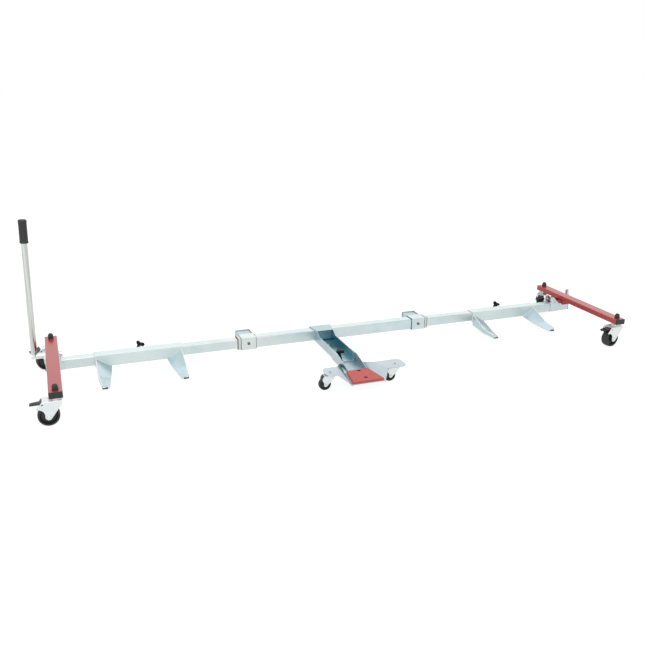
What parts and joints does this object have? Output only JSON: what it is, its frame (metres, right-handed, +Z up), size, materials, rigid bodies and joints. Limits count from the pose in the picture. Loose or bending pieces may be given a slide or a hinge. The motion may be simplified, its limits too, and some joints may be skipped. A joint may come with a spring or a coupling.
{
  "type": "motorcycle mover",
  "caption": "Long telescopic rail on hinged cross beams with braked casters, sliding wheel prongs and a side-stand support, for lifting and rolling a parked motorcycle sideways.",
  "frame": {"origin": "on the floor, under the middle of the whole mover's box", "axes": "+X along the rail to the end without the lever, -Y to the side that takes the tyres, +Z up"},
  "size_m": [2.716, 0.737, 0.6756],
  "materials": {
    "zinc": "bright zinc plating",
    "steel": "plain steel",
    "red_paint": "glossy red paint",
    "red_pad": "satin red",
    "black_plastic": "black moulded plastic",
    "guide_nylon": "off-white moulded nylon",
    "black_rubber": "black wheel tread",
    "grip_rubber": "matt black grip"
  },
  "bodies": {
    "centre": {"centre_tube": "zinc", "collars": "zinc", "tube_guides": "guide_nylon", "collar_locks": "steel"},
    "arm": {"arm_channel": "zinc", "saddle_bolt": "steel"},
    "stand": {"stand_base": "zinc", "stand_pad": "red_pad", "pad_screws": "black_plastic", "clamp_stud": "steel", "small_caster_pins": "steel"},
    "stand_knob": {"stand_knob": "black_plastic"},
    "lever": {"lever_tube": "steel", "lever_grip": "grip_rubber"},
    "left_small_caster": {"left_small_fork": "zinc"},
    "left_small_roller": {"left_small_wheel": "black_rubber"},
    "right_small_caster": {"right_small_fork": "zinc"},
    "right_small_roller": {"right_small_wheel": "black_rubber"},
    "left_rail": {"left_inner_tube": "zinc", "left_rail_plug": "black_plastic", "left_hinge_ears": "zinc", "left_hinge_bolt": "steel"},
    "left_cradle": {"left_carriage": "zinc", "left_prongs": "zinc", "left_prong_tips": "black_plastic"},
    "left_clamp": {"left_cradle_knob": "black_plastic", "left_cradle_stud": "steel"},
    "left_beam": {"left_crossbeam": "red_paint", "left_hinge_lug": "red_paint", "left_beam_caps": "black_plastic", "left_king_pins": "steel", "left_dome_caps": "black_plastic", "left_lever_socket": "steel"},
    "right_rail": {"right_inner_tube": "zinc", "right_rail_plug": "black_plastic", "right_hinge_ears": "zinc", "right_hinge_bolt": "steel"},
    "right_cradle": {"right_carriage": "zinc", "right_prongs": "zinc", "right_prong_tips": "black_plastic"},
    "right_clamp": {"right_cradle_knob": "black_plastic", "right_cradle_stud": "steel"},
    "right_beam": {"right_crossbeam": "red_paint", "right_hinge_lug": "red_paint", "right_beam_caps": "black_plastic", "right_king_pins": "steel", "right_dome_caps": "black_plastic", "right_lever_socket": "steel"},
    "left_front_caster": {"left_front_fork": "zinc"},
    "left_front_roller": {"left_front_wheel": "black_rubber"},
    "left_front_brake": {"left_front_pedal": "black_plastic"},
    "left_rear_caster": {"left_rear_fork": "zinc"},
    "left_rear_roller": {"left_rear_wheel": "black_rubber"},
    "left_rear_brake": {"left_rear_pedal": "black_plastic"},
    "right_front_caster": {"right_front_fork": "zinc"},
    "right_front_roller": {"right_front_wheel": "black_rubber"},
    "right_front_brake": {"right_front_pedal": "black_plastic"},
    "right_rear_caster": {"right_rear_fork": "zinc"},
    "right_rear_roller": {"right_rear_wheel": "black_rubber"},
    "right_rear_brake": {"right_rear_pedal": "black_plastic"}
  },
  "joints": [
    {"name": "arm_slide", "type": "slide", "parent": "centre", "child": "arm", "axis": [1, 0, 0], "range_m": [-0.2, 0.3]},
    {"name": "stand_slide", "type": "slide", "parent": "arm", "child": "stand", "axis": [0, 1, 0], "range_m": [-0.03, 0.09]},
    {"name": "stand_knob_turn", "type": "hinge", "parent": "stand", "child": "stand_knob", "pos_m": [-0.0885, -0.0795, 0.0481], "axis": [0, 0, 1], "continuous": true},
    {"name": "left_small_swivel", "type": "hinge", "parent": "stand", "child": "left_small_caster", "pos_m": [-0.2055, -0.2705, 0.0677], "axis": [0, 0, 1], "continuous": true},
    {"name": "left_small_roll", "type": "hinge", "parent": "left_small_caster", "child": "left_small_roller", "pos_m": [-0.2295, -0.2705, 0.026], "axis": [0, 1, 0], "continuous": true},
    {"name": "right_small_swivel", "type": "hinge", "parent": "stand", "child": "right_small_caster", "pos_m": [0.0865, -0.2705, 0.0677], "axis": [0, 0, 1], "continuous": true},
    {"name": "right_small_roll", "type": "hinge", "parent": "right_small_caster", "child": "right_small_roller", "pos_m": [0.0625, -0.2705, 0.026], "axis": [0, 1, 0], "continuous": true},
    {"name": "left_rail_slide", "type": "slide", "parent": "centre", "child": "left_rail", "axis": [-1, 0, 0], "range_m": [-0.12, 0.06]},
    {"name": "left_cradle_slide", "type": "slide", "parent": "left_rail", "child": "left_cradle", "axis": [-1, 0, 0], "range_m": [-0.11, 0.06]},
    {"name": "left_clamp_turn", "type": "hinge", "parent": "left_cradle", "child": "left_clamp", "pos_m": [-0.9005, 0.2095, 0.089], "axis": [0, 1, 0], "continuous": true},
    {"name": "left_beam_hinge", "type": "hinge", "parent": "left_rail", "child": "left_beam", "pos_m": [-1.2405, 0.1845, 0.1025], "axis": [0, 1, 0], "range_deg": [0, 75]},
    {"name": "right_rail_slide", "type": "slide", "parent": "centre", "child": "right_rail", "axis": [1, 0, 0], "range_m": [-0.12, 0.06]},
    {"name": "right_cradle_slide", "type": "slide", "parent": "right_rail", "child": "right_cradle", "axis": [1, 0, 0], "range_m": [-0.11, 0.06]},
    {"name": "right_clamp_turn", "type": "hinge", "parent": "right_cradle", "child": "right_clamp", "pos_m": [0.9225, 0.2095, 0.089], "axis": [0, 1, 0], "continuous": true},
    {"name": "right_beam_hinge", "type": "hinge", "parent": "right_rail", "child": "right_beam", "pos_m": [1.2175, 0.1845, 0.1025], "axis": [0, -1, 0], "range_deg": [0, 75]},
    {"name": "lever_lift", "type": "slide", "parent": "left_beam", "child": "lever", "axis": [0.0288, 0, 0.9996], "range_m": [0, 0.05]},
    {"name": "left_front_swivel", "type": "hinge", "parent": "left_beam", "child": "left_front_caster", "pos_m": [-1.2635, -0.2315, 0.1037], "axis": [0, 0, 1], "continuous": true},
    {"name": "left_front_roll", "type": "hinge", "parent": "left_front_caster", "child": "left_front_roller", "pos_m": [-1.2945, -0.2315, 0.04], "axis": [0, 1, 0], "continuous": true},
    {"name": "left_front_brake_press", "type": "hinge", "parent": "left_front_caster", "child": "left_front_brake", "pos_m": [-1.3135, -0.2315, 0.09], "axis": [0, 1, 0], "range_deg": [0, 20]},
    {"name": "left_rear_swivel", "type": "hinge", "parent": "left_beam", "child": "left_rear_caster", "pos_m": [-1.2635, 0.3365, 0.1037], "axis": [0, 0, 1], "continuous": true},
    {"name": "left_rear_roll", "type": "hinge", "parent": "left_rear_caster", "child": "left_rear_roller", "pos_m": [-1.29382, 0.33005, 0.04], "axis": [-0.2079, 0.9781, 0], "continuous": true},
    {"name": "left_rear_brake_press", "type": "hinge", "parent": "left_rear_caster", "child": "left_rear_brake", "pos_m": [-1.3124, 0.3261, 0.09], "axis": [-0.2079, 0.9781, 0], "range_deg": [0, 20]},
    {"name": "right_front_swivel", "type": "hinge", "parent": "right_beam", "child": "right_front_caster", "pos_m": [1.2745, -0.2315, 0.1037], "axis": [0, 0, 1], "continuous": true},
    {"name": "right_front_roll", "type": "hinge", "parent": "right_front_caster", "child": "right_front_roller", "pos_m": [1.24381, -0.23582, 0.04], "axis": [-0.1392, 0.9903, 0], "continuous": true},
    {"name": "right_front_brake_press", "type": "hinge", "parent": "right_front_caster", "child": "right_front_brake", "pos_m": [1.22499, -0.23846, 0.09], "axis": [-0.1392, 0.9903, 0], "range_deg": [0, 20]},
    {"name": "right_rear_swivel", "type": "hinge", "parent": "right_beam", "child": "right_rear_caster", "pos_m": [1.2745, 0.3365, 0.1037], "axis": [0, 0, 1], "continuous": true},
    {"name": "right_rear_roll", "type": "hinge", "parent": "right_rear_caster", "child": "right_rear_roller", "pos_m": [1.25076, 0.31657, 0.04], "axis": [-0.6428, 0.766, 0], "continuous": true},
    {"name": "right_rear_brake_press", "type": "hinge", "parent": "right_rear_caster", "child": "right_rear_brake", "pos_m": [1.2362, 0.30436, 0.09], "axis": [-0.6428, 0.766, 0], "range_deg": [0, 20]}
  ]
}
